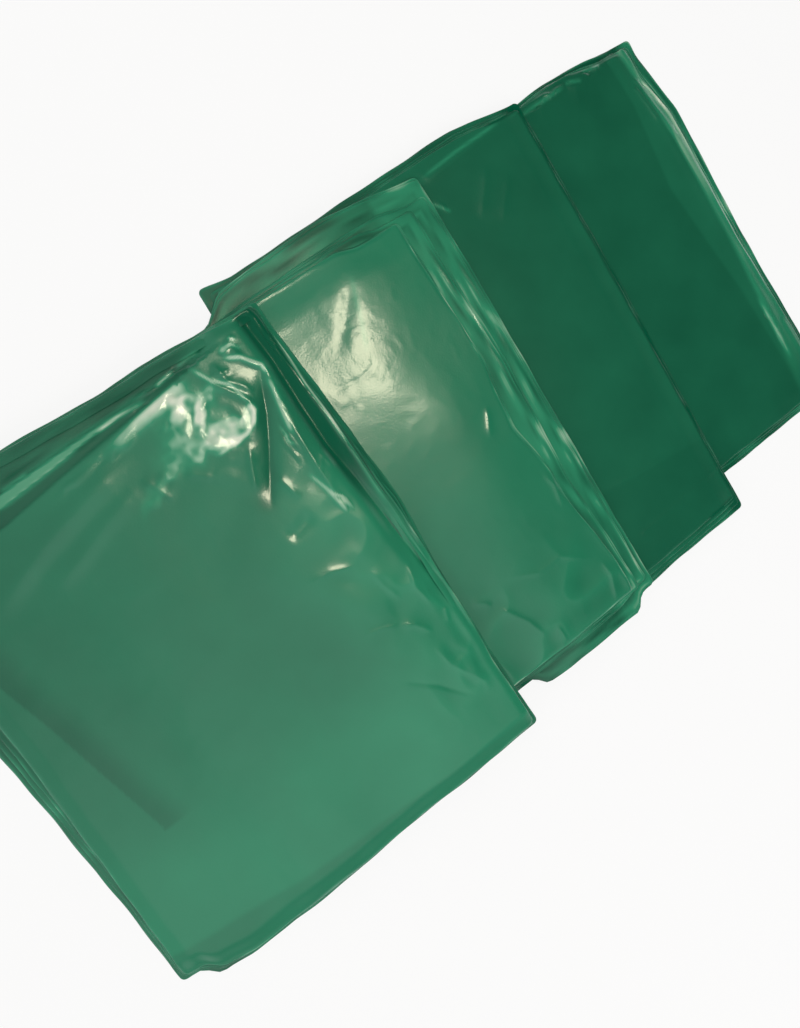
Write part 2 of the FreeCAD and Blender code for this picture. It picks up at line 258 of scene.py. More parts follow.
def flat_spots(x, y, lift, bag, spots):
    """Lay spots of the film flat, tilted so that they mirror the warm lamp to the camera."""
    wx = x + SPOT_WANDER * air(x, y, 5.0, 71)
    wy = y + SPOT_WANDER * air(x, y, 5.0, 72)
    for centre, size, angle, share in spots:
        place = Vector((centre[0] * MM, centre[1] * MM, SPOT_HEIGHT))
        half = (CAMERA_PLACE - place).normalized() + (WARM_LAMP - place).normalized()
        weight = share * spot(wx, wy, centre, size, angle)
        dx, dy = x - centre[0], y - centre[1]
        here = lift.flat[np.argmin(np.hypot(dx, dy))]
        slope = drape(np.array([centre[0] - 0.5, centre[0] + 0.5]), bag)
        tilt = -(dx * half.x + dy * half.y) / half.z - dx * (slope[1] - slope[0])
        lift = lift + weight * (np.clip(tilt, -MOST_TILT, MOST_TILT) - FLATTEN * (lift - here))
    return lift


print("flat spots ready")

# %% [markdown]
# ## Green polyethylene film
# The sacks are blown low-density polyethylene, coloured right through. The film is semi-gloss with
# a faint orange-peel from blowing. Many plies together look a deep green, and where few plies lie
# over a pale table the green turns lighter. A point attribute called tone carries that, from 0 for
# the deepest stack to 1 for the palest green. It carries painted light as well: painted sheen raises
# it and painted shade lowers it. Below 0 it marks painted shade in a tight groove, where film lies on
# film and no lamp mirrors, so the green goes deep and the gloss fades out there. From 0.6 up to 1.5
# the film turns nearly white: that is painted highlight and sheen.

# %% Film material
def linear(code):
    """A colour written as sRGB hex, turned to the linear values that shaders use."""
    parts = [int(code[i:i + 2], 16) / 255.0 for i in (0, 2, 4)]
    return [c / 12.92 if c <= 0.04045 else ((c + 0.055) / 1.055) ** 2.4 for c in parts] + [1.0]


def add_node(tree, kind, settings=None, inputs=None, links=None):
    """Add a shader node, set its properties and socket values, and link sockets from other nodes."""
    node = tree.nodes.new("ShaderNode" + kind)
    for key, value in (settings or {}).items():
        setattr(node, key, value)
    for key, value in (inputs or {}).items():
        node.inputs[key].default_value = value
    for key, (source, output) in (links or {}).items():
        tree.links.new(source.outputs[output], node.inputs[key])
    return node


def ramp(tree, source, output, before, after, shape="LINEAR"):
    """Map one span of values onto another, and stay inside it."""
    return add_node(tree, "MapRange", {"clamp": True, "interpolation_type": shape},
                    {"From Min": before[0], "From Max": before[1], "To Min": after[0], "To Max": after[1]},
                    {"Value": (source, output)})


FILM_DEEP = "0A5B41"  # many plies: nearly opaque deep green; painted shade also turns the film towards it
FILM_PALE = "39AC81"  # few plies, where a table shines through real film; painted sheen also turns the film towards it
FILM_HIGHLIGHT = "E2EEDA"  # painted highlight and sheen: near-white film where the tone is high
FILM_IOR = 1.51
PEEL_SIZE = 1.1  # millimetres of orange-peel, which breaks up the lamp's edge
MOTTLE_SIZE = 38.0  # millimetres of uneven blowing, a soft cloud in the green


def blown_film():
    material = bpy.data.materials.new("blown_polyethylene_film")
    material.use_nodes = True
    tree = material.node_tree
    tree.nodes.clear()
    place = add_node(tree, "TexCoord")
    tone = add_node(tree, "Attribute", {"attribute_name": "tone"})
    mottle = add_node(tree, "TexNoise", {}, {"Scale": 1.0 / (MOTTLE_SIZE * MM), "Detail": 3.0},
                      {"Vector": (place, "Object")})
    spread = add_node(tree, "Math", {"operation": "MULTIPLY_ADD"}, {1: 0.2, 2: -0.1},
                      {0: (mottle, "Fac")})
    mixed = add_node(tree, "Math", {"operation": "ADD", "use_clamp": True}, {},
                     {0: (tone, "Fac"), 1: (spread, "Value")})
    colour = add_node(tree, "Mix", {"data_type": "RGBA"},
                      {6: linear(FILM_DEEP), 7: linear(FILM_PALE)}, {0: (mixed, "Value")})
    # painted highlight and sheen: a high tone turns the colour near white
    painted_highlight = ramp(tree, tone, "Fac", (0.6, 1.5), (0.0, 1.0))
    colour = add_node(tree, "Mix", {"data_type": "RGBA"}, {7: linear(FILM_HIGHLIGHT)},
                      {0: (painted_highlight, "Result"), 6: (colour, 2)})
    peel = add_node(tree, "TexNoise", {}, {"Scale": 1.0 / (PEEL_SIZE * MM), "Detail": 2.0},
                    {"Vector": (place, "Object")})
    bump = add_node(tree, "Bump", {}, {"Strength": 0.3, "Distance": 0.12 * MM},
                    {"Height": (peel, "Fac")})
    # no gloss where the tone marks painted shade in a groove
    gloss = ramp(tree, tone, "Fac", (-0.12, 0.0), (0.0, 0.5))
    shader = add_node(tree, "BsdfPrincipled", {},
                      {"Roughness": 0.26, "IOR": FILM_IOR, "Coat Roughness": 0.1},
                      {"Base Color": (colour, 2), "Normal": (bump, "Normal"),
                       "Coat Weight": (gloss, "Result"), "Coat Normal": (bump, "Normal"),
                       "Specular IOR Level": (gloss, "Result")})
    add_node(tree, "OutputMaterial", {}, {}, {"Surface": (shader, "BSDF")})
    return material


film = blown_film()
print("material", film.name)

# %% [markdown]
# ## The edges of each ply
# Every fold of a real bag ends a little before or after the one below it, which is what shows as
# the many fine lines along the edges. The outlines follow the photograph: each list runs along
# one edge and gives how far the ply stands out there. Four plies are listed, the lowest first.

# %% Outlines: (share along the edge, millimetres outwards)
OUTLINE = {}
OUTLINE["top_bag", "lower"] = [
    [(0.0, -9), (0.05, -7.5), (0.068, 0.8), (0.1, 1.7), (0.15, 4.6), (0.3, 5), (0.52, 3.7), (0.98, 3.5)],
    [(0.01, -10), (0.05, -8.5), (0.07, -0.5), (0.1, 0.5), (0.15, 3), (0.3, 3.4), (0.97, 2.4)],
    [(0.01, -10.5), (0.05, -9.5), (0.072, -1.5), (0.15, 2.4), (0.3, 2.8), (0.96, 2)],
    [(0.01, -11), (0.05, -10.5), (0.075, -2.5), (0.15, 2), (0.3, 2.4), (0.95, 1.6)],
]
OUTLINE["top_bag", "right"] = [
    [(0.18, -2), (0.39, -1), (0.55, 3), (0.77, 0), (0.94, -4)],
    [(0.18, -4), (0.39, -3), (0.55, 0.8), (0.77, -2.5), (0.92, -6)],
    [(0.18, -5.5), (0.29, -4.8), (0.53, -3.9), (0.69, -5), (0.85, -7), (0.96, -8)],
    [(0.18, -5), (0.29, -2.6), (0.53, -1.7), (0.69, -2.6), (0.85, -4.8), (0.96, -6.5)],
]
OUTLINE["top_bag", "upper"] = [
    [(0.01, 2.5), (0.37, 0.6), (0.59, -1.5), (0.72, -0.7), (0.93, -3)],
    [(0.01, 1.5), (0.37, -0.4), (0.59, -2.5), (0.72, -1.7), (0.93, -4)],
    [(0.01, 0.7), (0.37, -1.2), (0.59, -3.3), (0.72, -2.5), (0.93, -5)],
    [(0.01, 0.7), (0.37, -1.2), (0.59, -3.3), (0.72, -2.5), (0.93, -5)],
]
OUTLINE["top_bag", "left"] = [
    [(0.02, 4.5), (0.2, 3), (0.41, 2.4), (0.57, 3)],
    [(0.02, 3), (0.2, 0.8), (0.55, 0)],
    [(0.02, 2), (0.2, -1.5), (0.55, -3)],
    [(0.02, 1.5), (0.1, -0.5), (0.3, -3), (0.55, -6)],
]
OUTLINE["second_bag", "lower"] = [
    [(0.01, -2), (0.585, -2), (0.6, 6), (0.65, 6.5), (0.93, 7.5), (0.94, 1), (0.96, -1)],
    [(0.02, -4), (0.55, -3.5), (0.89, -3), (0.97, -7.5)],
    [(0.03, -6), (0.55, -5), (0.93, -6.5)],
    [(0.04, -8), (0.55, -7), (0.9, -8)],
]
OUTLINE["second_bag", "right"] = [
    [(0.07, -3), (0.45, -1.5), (0.72, 0)],
    [(0.08, -6.5), (0.45, -3.5), (0.72, -2), (0.95, -2)],
    [(0.05, -14), (0.32, -17), (0.62, -12), (0.9, -14)],
    [(0.1, -19), (0.29, -25.5), (0.36, -24.5), (0.49, -31), (0.66, -25), (0.91, -26)],
]
OUTLINE["second_bag", "upper"] = [
    [(0.01, -3.5), (0.39, -2), (0.45, 9.5), (0.53, 12), (0.72, 14.5), (0.84, 12.5), (0.95, 9), (1.0, 7.5)],
    [(0.02, -3.5), (0.4, -2.5), (0.49, -1), (0.87, 0.5), (0.94, -3.5)],
    [(0.03, -4), (0.49, -2.5), (0.84, -2), (0.9, -6)],
    [(0.04, -6), (0.49, -4.5), (0.8, -4.5), (0.86, -8)],
]
OUTLINE["second_bag", "left"] = [[(0.5, 0.8)], [(0.5, -3)], [(0.5, -6)], [(0.5, -9)]]
OUTLINE["third_bag", "lower"] = [
    [(0.01, -5), (0.6, 1), (0.74, -0.8), (0.98, 0)],
    [(0.04, -8), (0.6, -1.5), (0.96, -3)],
    [(0.05, -11), (0.6, -4.5), (0.95, -6)],
    [(0.06, -14), (0.6, -8), (0.94, -9)],
]
OUTLINE["third_bag", "right"] = [
    [(0.08, -1.3), (0.56, 0.3), (0.96, -0.8)],
    [(0.1, -3), (0.56, -1.5), (0.94, -2.5)],
    [(0.1, -3.6), (0.56, -2), (0.93, -3)],
    [(0.1, -4.2), (0.56, -2.6), (0.92, -3.6)],
]
OUTLINE["third_bag", "upper"] = [
    [(0.02, 0), (0.09, -2.5), (0.39, 0), (0.78, 3.2), (0.91, 0), (0.97, -1.7)],
    [(0.06, -4.5), (0.39, -2.5), (0.78, 0.5), (0.95, -3.5)],
    [(0.1, -5.5), (0.39, -3.6), (0.78, -1.2), (0.94, -4.5)],
    [(0.12, -6.5), (0.39, -4.6), (0.78, -2.2), (0.93, -5.5)],
]
OUTLINE["third_bag", "left"] = [
    [(0.13, -5), (0.86, -7), (0.94, 0), (0.99, -0.4)],
    [(0.13, -8), (0.9, -5)],
    [(0.13, -11), (0.88, -9)],
    [(0.13, -14), (0.86, -13)],
]
OUTLINE["bottom_bag", "lower"] = [
    [(0.01, -1.5), (0.5, 0), (0.99, 0)],
    [(0.02, -4), (0.5, -2), (0.98, -2)],
    [(0.03, -6), (0.5, -4), (0.97, -3.5)],
    [(0.04, -8), (0.5, -6), (0.93, -5.5)],
]
OUTLINE["bottom_bag", "right"] = [
    [(0.18, 1.5), (0.47, -2.5), (0.81, -2.5), (0.96, -11)],
    [(0.18, -0.5), (0.47, -6), (0.81, -7), (0.94, -15)],
    [(0.18, -2.5), (0.47, -8), (0.81, -9), (0.93, -17)],
    [(0.18, -3.5), (0.47, -9), (0.81, -10), (0.92, -18)],
]
OUTLINE["bottom_bag", "upper"] = [
    [(0.02, -0.5), (0.38, 2), (0.56, 0.5), (0.7, 3), (0.83, 2.5), (0.92, 0)],
    [(0.03, -2), (0.38, -0.5), (0.56, -2.5), (0.7, 0.5), (0.83, 0), (0.9, -3)],
    [(0.04, -2), (0.38, 0), (0.56, -2), (0.7, 1), (0.8, 0.6), (0.88, -2.5)],
    [(0.05, -3), (0.38, -0.5), (0.56, -2.5), (0.7, 0.5), (0.78, 0.2), (0.86, -3)],
]
OUTLINE["bottom_bag", "left"] = [[(0.5, 0.6)], [(0.5, -3)], [(0.5, -6)], [(0.5, -9)]]
print("outlines for", len(OUTLINE), "sides")

# %% [markdown]
# ## One ply of film
# A ply is a flat loop of film: two faces joined by a tight rounded fold all the way round. It could
# be a solidified plane, but its edge would then be square. Here a grid is laid over the ply's
# outline, packed closely near the rim, and the rows nearest to the rim turn over on an ellipse.
# The middle of a lower ply is never seen, so only a band along its rim is kept. A soft rim is one
# where the bag grows thinner towards its edge, because fewer plies reach that far.

# %% Rows of the grid and soft rims, in millimetres
# distances from the rim at which the grid has a row
FINE_ROWS = [0.0, 0.12, 0.3, 0.55, 0.9, 1.3, 1.8, 2.5, 3.4, 4.6, 6.0]
THIN_ROWS = [0.0, 0.15, 0.4, 0.8, 1.4, 2.2, 3.2, 4.6, 6.6, 9.4]
CORNER = 3.0  # radius of a ply's corner
UNDER_BAND = 6.0  # how much of a ply's underside is kept along its rim
SOFT_RIM = {
    # side: (reach, [(share along the side, millimetres thinner at the rim)])
    "top_bag": {"lower": (12.0, [(0, 2.8)]), "left": (9.0, [(0, 1.6)]), "upper": (6.0, [(0, 1.0)]),
                "right": (5.0, [(0.2, 1.0), (0.45, 2.2), (0.6, 4.2)])},
    "second_bag": {"lower": (9.0, [(0, 0.9)]), "upper": (20.0, [(0, 1.0)])},
    "third_bag": {"lower": (12.0, [(0, 0.8)]), "right": (16.0, [(0, 1.7)]), "upper": (8.0, [(0, 0.5)])},
    "bottom_bag": {"lower": (10.0, [(0, 0.8)]), "right": (14.0, [(0, 1.0)]), "upper": (10.0, [(0, 0.8)])},
}


def graded(length, rim_rows, pitch, hidden=0.0):
    """Distances across a ply: close together at both rims, coarse where the bag above covers it."""
    start, stop = rim_rows[-1], length - rim_rows[-1]
    rows = [np.array(rim_rows), length - np.array(rim_rows)]
    if hidden > start + 8.0:
        rows.append(np.linspace(start, hidden, round((hidden - start) / 4.0), endpoint=False))
        start = hidden
    rows.append(np.linspace(start, stop, round((stop - start) / pitch)))
    return np.unique(np.round(np.concatenate(rows), 4))


print(len(FINE_ROWS), "rows at a fine rim,", len(THIN_ROWS), "at a thin one")

# %% [markdown]
# The outline of a ply is read between the listed ones by its depth in the pile, and eased over a
# few millimetres so that it has no corner where the list has a point.

# %% One ply
def edge_bulge(bag, side, depth, share, length, seed):
    """How far a ply's edge stands out along its length, eased, with a slight unevenness."""
    plies = OUTLINE[bag, side]
    lower = min(int(depth), 2)
    bulge = np.zeros_like(share)
    for ply, weight in ((lower, 1.0 - (depth - lower)), (lower + 1, depth - lower)):
        shares, values = zip(*plies[ply])
        for k in (-2, -1, 0, 1, 2):
            bulge = bulge + weight * np.interp(share + k * 1.2 / length, shares, values) / 5.0
    phase = np.random.default_rng(seed).random(3) * 6.28
    waves = sum(np.sin(share * length / w + p) for w, p in zip((5.0, 11.0, 27.0), phase))
    return bulge + 0.15 * waves


def film_ply(bag, depth, level, thick, rows, pitch, rim, seed, relief, hidden=0.0, band=None):
    """Points, each with its distance to the rim, and quads of one ply. Depth 0 is the lowest."""
    left, right, low, high = RECT[bag]
    width, length = right - left, high - low
    columns, lines = graded(width, rows, pitch, hidden), graded(length, rows, pitch)
    across, up = np.meshgrid(columns, lines, indexing="ij")
    near_x, near_y = np.minimum(across, width - across), np.minimum(up, length - up)
    inset = np.minimum(near_x, near_y)
    # the corners are drawn in to a radius
    p, q = np.clip(1.0 - near_x / CORNER, 0.0, 1.0), np.clip(1.0 - near_y / CORNER, 0.0, 1.0)
    pull_x = CORNER * p * (1.0 - np.sqrt(1.0 - q * q / 2.0))
    pull_y = CORNER * q * (1.0 - np.sqrt(1.0 - p * p / 2.0))
    u = (across + np.where(across < width / 2.0, pull_x, -pull_x)) / width
    v = (up + np.where(up < length / 2.0, pull_y, -pull_y)) / length
    # each edge moves out by its outline
    low_out = edge_bulge(bag, "lower", depth, u, width, seed)
    high_out = edge_bulge(bag, "upper", depth, u, width, seed + 1)
    left_out = edge_bulge(bag, "left", depth, v, length, seed + 2)
    right_out = edge_bulge(bag, "right", depth, v, length, seed + 3)
    x = left - left_out + (width + left_out + right_out) * u
    y = low - low_out + (length + low_out + high_out) * v
    # the bag grows thinner towards a soft rim
    sink = 0.0
    for side, distance, along in (("lower", up, u), ("upper", length - up, u), ("left", across, v),
                                  ("right", width - across, v)):
        reach, amounts = SOFT_RIM[bag].get(side, (1.0, [(0, 0.0)]))
        sink = sink + np.interp(along, *zip(*amounts)) * smooth(1.0 - distance / reach)
    share = 1.0 - sink / THICK[bag]
    # the two faces meet on an ellipse at the rim, and the relief rides on them
    turn = np.sqrt(1.0 - np.clip(1.0 - inset / rim, 0.0, 1.0) ** 2)
    middle = drape(x, bag) + (level - thick / 2.0) * share
    middle = middle + 0.3 * smooth(1.0 - inset / 14.0) * air(x, y, 22.0, seed + 5)
    lift = relief(x, y)
    if depth < 3:
        lift = np.where(lift < 0.0, lift * level / THICK[bag], np.minimum(lift, 0.2))
    else:
        lift = lift * smooth(inset / 2.5)
    upper = np.stack([x, y, np.maximum(middle + thick / 2.0 * turn + lift, 0.05), inset], -1)
    bottom = np.maximum(middle - thick / 2.0 * turn + (lift if depth < 3 else 0.0), 0.02)
    under = np.stack([x, y, bottom, inset], -1)
    index = np.arange(x.size).reshape(x.shape)
    below = np.where(inset > 0.0, index + x.size, index)
    quads = []
    under_band = None if depth == 0 else UNDER_BAND
    for grid, reach, order in ((index, band, (0, 1, 2, 3)), (below, under_band, (3, 2, 1, 0))):
        corners = np.stack([grid[:-1, :-1], grid[1:, :-1], grid[1:, 1:], grid[:-1, 1:]], -1)
        if reach is not None:
            corners = corners[np.minimum(inset[:-1, :-1], inset[1:, 1:]) < reach]
        quads.append(corners.reshape(-1, 4)[:, order])
    return np.concatenate([upper.reshape(-1, 4), under.reshape(-1, 4)]), np.concatenate(quads)


print("ply builder ready")

# %% [markdown]
# ## From plies to pieces
# Each bag gets two pieces: its crown, the uppermost film with all the creases, and its folds, seven
# thinner plies whose edges show below it. Both ride on the root body and replace the plain solid.

# %% Pieces
TONE_SCALE = 0.5  # the tone functions count to 2 where the attribute counts to 1


def film_piece(name, bag, parts, tone):
    """One Blender piece from (points, quads) in millimetres, with its tone painted by point."""
    points, faces, base = [], [], 0
    for part_points, part_faces in parts:
        used = np.unique(part_faces)
        renumber = np.zeros(len(part_points), int)
        renumber[used] = np.arange(len(used)) + base
        points.append(part_points[used])
        faces.append(renumber[part_faces])
        base += len(used)
    points, faces = np.concatenate(points), np.concatenate(faces)
    mesh = bpy.data.meshes.new(name)
    mesh.vertices.add(len(points))
    mesh.vertices.foreach_set("co", (points[:, :3] * MM).ravel())
    mesh.loops.add(faces.size)
    mesh.loops.foreach_set("vertex_index", faces.ravel())
    mesh.polygons.add(len(faces))
    mesh.polygons.foreach_set("loop_start", np.arange(0, faces.size, 4))
    mesh.polygons.foreach_set("use_smooth", np.ones(len(faces), bool))
    mesh.update(calc_edges=True)
    mesh.validate()
    values = mesh.attributes.new("tone", "FLOAT", "POINT").data
    values.foreach_set("value", TONE_SCALE * tone(*points.T))
    mesh.materials.append(film)
    piece = bpy.data.objects.new(name, mesh)
    bpy.context.scene.collection.objects.link(piece)
    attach(piece, "root")
    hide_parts(bag)
    print(name, "triangles", sum(len(p.vertices) - 2 for p in mesh.polygons))
    return piece


# each fold's depth among the listed outlines, and its height as a share of the bag's thickness
FOLDS = [(2.9, 0.8), (2.1, 0.68), (1.95, 0.56), (1.1, 0.44), (0.95, 0.33), (0.12, 0.22), (0.0, 0.11)]
# thickness as a share of the bag's, grid pitch, reach of the rounded rim, width of the band kept
FOLD_THICK, FOLD_PITCH, FOLD_RIM, FOLD_BAND = 0.1, 3.4, 0.8, 34.0
CROWN_THICK, CROWN_RIM = 0.2, 2.2


def lower_folds(bag, relief, seed):
    """The thinner folds below the crown, each with its own edge."""
    thick = FOLD_THICK * THICK[bag]
    plies = []
    for number, (depth, share) in enumerate(FOLDS):
        keep = None if depth == 0 else FOLD_BAND
        plies.append(film_ply(bag, depth, share * THICK[bag], thick, THIN_ROWS, FOLD_PITCH, FOLD_RIM,
                              seed + 10 * number, relief, band=keep))
    return plies


def crown(bag, relief, pitch, hidden, seed):
    """The uppermost film, fine enough for its creases."""
    return [film_ply(bag, 3, THICK[bag], CROWN_THICK * THICK[bag], FINE_ROWS, pitch, CROWN_RIM, seed,
                     relief, hidden)]


def dress(bag, relief, crown_tone, folds_tone, pitch, hidden, seed):
    """Crown and folds of one bag. Hidden is how far the bag above covers it, from its left."""
    film_piece(bag + "_crown", bag, crown(bag, relief, pitch, hidden, seed), crown_tone)
    film_piece(bag + "_folds", bag, lower_folds(bag, relief, seed + 10), folds_tone)


print("piece builder ready")

# %% [markdown]
# ## Tone along folds and creases
# Few plies lie at a fold, so its edge is paler, and a painted highlight along the rim adds to that.
# Painted highlights also lie as hair lines along sharp creases. The folds below a crown differ in
# tone, in streaks along their edges that are partly random and partly painted reflection; beyond
# one x they may be painted paler with sheen or deeper with shade.

# %% Tone helpers
def line_side(x, y, points):
    """Signed distance from a bent line, positive on its left as it runs."""
    distance, side, _ = path_distance(x, y, points)
    return distance * side


def pale_edge_and_glint(x, y, rim, seed):
    """The paler last millimetre of a fold, partly fewer plies and partly a painted highlight, uneven along
    it.
    """
    return 0.8 * np.exp(-(rim / 1.1) ** 2) * rumple(x, y, 9.0, seed) ** 2


def glint_line(x, y, points, width):
    """Weight of a painted highlight: a pale hair line of glint along a bent line."""
    distance, _, along = path_distance(x, y, points)
    return np.exp(-(distance / width) ** 2) * smooth(along / 0.2) * smooth((1.0 - along) / 0.2)


def fold_tone(base, seed, pale_from=1000.0, paler=0.0):
    """The tone of the lower folds, painted paler with sheen or deeper with shade beyond one x."""
    def tone(x, y, z, rim):
        beyond = smooth((x - pale_from) / 4.0)
        # streaks along the edges: partly random tone, partly painted reflection
        streak = air(rim * 7.0, x + y, 16.0, seed + 1)
        cloud = air(x + 40.0 * z, y, 30.0, seed)
        edge = pale_edge_and_glint(x, y, rim, seed)
        return base + paler * beyond + 0.3 * cloud + (0.6 + 1.8 * paler) * streak + edge
    return tone


print("tone helpers ready")

# %% [markdown]
# ## The uppermost bag
# Its film is pulled from its upper right corner, where a fold has rolled over. That pull has left
# a fan of sharp creases, a ring where the air could not get out, and softer ridges that run away
# to the left.

# %% Top bag: creases, each with points, height, width and lean
TOP_CREASES = [
    ([(-52, 100), (-54, 88), (-56, 75), (-57, 60), (-58, 36), (-57, 14)], 1.5, 3.2, 0.5),
    ([(-51, 104), (-57, 91), (-63, 78), (-70, 66), (-79, 52), (-91, 34)], -2.4, 4.2, -0.45),
    ([(-88, 112), (-118, 108), (-143, 104), (-168, 100)], 0.8, 2.4, -0.3),
    ([(-83, 118), (-78, 104), (-71, 94), (-68, 88), (-69, 81), (-77, 69)], 0.9, 1.4, 0.3),
    ([(-73, 114), (-72, 106), (-71, 98)], 0.7, 1.4, 0.2),
    ([(-66, 113), (-60, 110), (-57, 105), (-51, 99), (-52, 91)], 0.8, 1.0, 0.3),
    ([(-94, 101), (-98, 94), (-101, 87)], -0.6, 1.4, 0.0),
    ([(-61, 117), (-59, 111), (-63, 108)], 0.7, 1.2, -0.2),
    ([(-55, 121), (-60, 118), (-66, 113)], 0.6, 1.2, 0.2),
    ([(-78, 109), (-66, 106)], 0.5, 1.2, 0.0),
    ([(-73, 104), (-66, 96), (-63, 90)], 0.6, 1.6, 0.3),
    ([(-97, 92), (-98, 84), (-92, 75)], 0.6, 1.4, -0.3),
    ([(-103, 97), (-104, 88), (-99, 81)], 0.5, 1.2, 0.2),
    ([(-80, 71), (-86, 60), (-92, 46)], 0.7, 1.8, 0.3),
    ([(-65, 66), (-63, 54)], 0.5, 0.9, 0.3),
    ([(-61.5, 66), (-60, 53)], 0.5, 0.9, 0.3),
    ([(-60, 26), (-57, 12)], 0.6, 1.0, 0.3),
    ([(-57.5, 25), (-55, 13)], 0.5, 0.9, 0.2),
    ([(-52, 48), (-50, 34)], 0.5, 1.2, 0.2),
    ([(-79, 51), (-74, 31)], 0.6, 1.5, 0.3),
    ([(-97, -8), (-84, -9), (-70, -15)], 0.6, 1.8, 0.3),
    ([(-66, -20), (-64, -33), (-60, -46)], 0.5, 1.6, 0.4),
    ([(-90, -48), (-79, -51), (-68, -56)], 0.4, 1.4, -0.3),
    ([(-60, -75), (-58, -92), (-47, -112), (-48, -121)], 0.6, 1.6, 0.4),
    ([(-88, -80), (-70, -97), (-55, -117)], -0.5, 1.4, 0.3),
    ([(-70, -56), (-62, -61), (-55, -71)], 0.6, 1.6, 0.2),
    ([(-45, -28), (-50, -44), (-47, -59)], 0.7, 1.6, 0.3),
    ([(-42, -63), (-45, -72)], 0.5, 1.0, 0.0),
    ([(-135, 86), (-131, 77), (-127, 66)], 0.5, 2.4, 0.4),
    ([(-116, 76), (-110, 70), (-104, 65)], 0.5, 2.0, 0.3),
]
TOP_SWELLS = [
    ([(-235, 66), (-191, 84), (-162, 91), (-128, 98)], 1.3, 6.0),
    ([(-206, 62), (-180, 69), (-161, 76), (-130, 84)], 0.7, 4.5),
    ([(-93, 18), (-84, 19), (-73, 22)], -0.8, 4.0),
    ([(-38, -12), (-36, -47), (-35, -98)], -0.6, 2.5),
    ([(-120, 40), (-90, -20), (-70, -80)], 0.7, 16.0),
]
print(len(TOP_CREASES), "creases")

# %% [markdown]
# Between the creases lie flat spots, which tilt just enough to catch the warm lamp.

# %% Top bag: flat spots, each with centre, size, angle and share
TOP_FACETS = [
    ((-104, 110), (12, 2.4), 12, 1.0), ((-126, 106), (14, 2.6), 14, 0.7), ((-99, 102), (7, 4), -29, 1.0),
    ((-153, 102), (18, 2.8), 8, 0.4), ((-98, 119.4), (16, 0.8), 2, 0.9), ((-96, 92), (17, 12), 20, 0.3),
    ((-108, 101), (5, 1.5), 19, 0.8), ((-92, 94), (8, 2.5), 38, 1.0), ((-90, 77), (10, 4), -25, 0.9),
    ((-74, 81), (7, 2.5), 59, 1.0), ((-85, 89), (8, 6), -33, 0.6), ((-56.5, 72), (9, 2.4), 86, 1.0),
    ((-54, 84), (8, 1.3), 75, 1.0), ((-64, 57), (8, 1.4), 94, 1.0), ((-60, 58), (5, 1.0), 89, 1.0),
    ((-59, 19), (6, 1.2), 101, 1.0), ((-56, 18), (5, 1.0), 107, 1.0), ((-55, 42), (5, 1.2), 47, 0.7),
    ((-57, 119), (2, 1.0), -5, 1.0), ((-61, 115), (5, 1.2), -15, 1.0), ((-62, 110), (5, 1.0), -33, 1.0),
    ((-54, 102), (5, 0.9), -51, 1.0), ((-89, 121), (3, 0.8), -2, 1.0), ((-114, 115), (6, 0.8), 1, 1.0),
    ((-119, 79), (10, 4), 10, 0.35), ((-131, 73), (9, 3), 20, 0.3), ((-97, 64), (9, 4), -10, 0.3),
    ((-50, -96), (4, 16), 12, 0.3), ((-74, -30), (9, 22), 0, 0.2),
]
print(len(TOP_FACETS), "flat spots")

# %% [markdown]
# The folds under the upper edge end in steps, which show as long lines. Along the
# right side a fold has rolled over: grooves run beside the roll, and its crest takes the lamp.

# %% Top bag: relief
FAN = ((-84.0, 88.0), (32.0, 34.0))  # where the creases meet: centre, spread
PUCKER = ((-58.0, -50.0), (26.0, 80.0))  # where the right part is crumpled into small flat panes
STEPS = [
    # points, drop
    ([(-275, 96), (-197, 101.5), (-167, 106), (-154, 107.8), (-130, 111), (-114.6, 113), (-90, 116.5)], 0.8),
    ([(-275, 101), (-195, 108.7), (-167, 111.3), (-150, 113.2), (-127, 115.6), (-109.5, 116.6),
      (-85, 118.5)], 0.7),
    ([(-275, 111), (-190, 115.6), (-133, 118.5), (-83.5, 120), (-66, 123)], 0.9),
]
ROLL_GROOVE = [(-49, 140), (-46.5, 124), (-45, 99), (-46, 73), (-46, 49), (-44.5, 29), (-42.5, 5),
               (-41, -30), (-39, -60)]
LOW_GROOVE = [(-44, 40), (-41, -14), (-41, -60), (-42, -130)]
SHARP_GROOVE = [(-45, 50), (-42.5, 25), (-40, -14), (-37.5, -50), (-36, -80)]
ROLL_CREST = [(-40, 138), (-38, 112), (-38, 84), (-36.5, 45), (-35.5, 0), (-36, -50)]
ROLL_SPOTS = [((-38, 103), (13, 0.9), 91, 1.0), ((-38, 78), (14, 0.7), 88, 0.8),
              ((-37, 50), (12, 0.7), 87, 0.6)]


def top_relief(x, y):
    lift = drawn(x, y, TOP_CREASES, TOP_SWELLS)
    fan = hill(x, y, *FAN)
    lift += 0.35 * fan * panes(x, y, 15.0, 11) + 1.1 * hill(x, y, *PUCKER) * panes(x, y, 17.0, 13)
    lift += 0.6 * air(x, y, 46.0, 14) + 0.2 * air(x, y, 17.0, 15)
    lift += 0.3 * panes(x, y, 34.0, 16) + 0.06 * panes(x, y, 9.0, 17)
    lift = flat_spots(x, y, lift, "top_bag", TOP_FACETS)
    lift += 0.12 * fan * panes(x, y, 5.0, 12)
    for points, drop in STEPS:
        lift += step(x, y, points, drop, 1.3) * smooth((-62.0 - x) / 14.0)
    rolled = smooth((y + 60.0) / 70.0) * smooth((131.0 - y) / 12.0)
    lift += rolled * swell(x, y, ROLL_GROOVE, -2.2, 4.4, 0.02)
    lift += swell(x, y, LOW_GROOVE, -1.3, 5.0, 0.4) + crease(x, y, SHARP_GROOVE, -1.4, 1.0, 0.0, 0.3)
    lift += rolled * crease(x, y, ROLL_CREST, 1.4, 1.0, 0.3, 0.0)
    return flat_spots(x, y, lift, "top_bag", ROLL_SPOTS)


print("top relief ready")
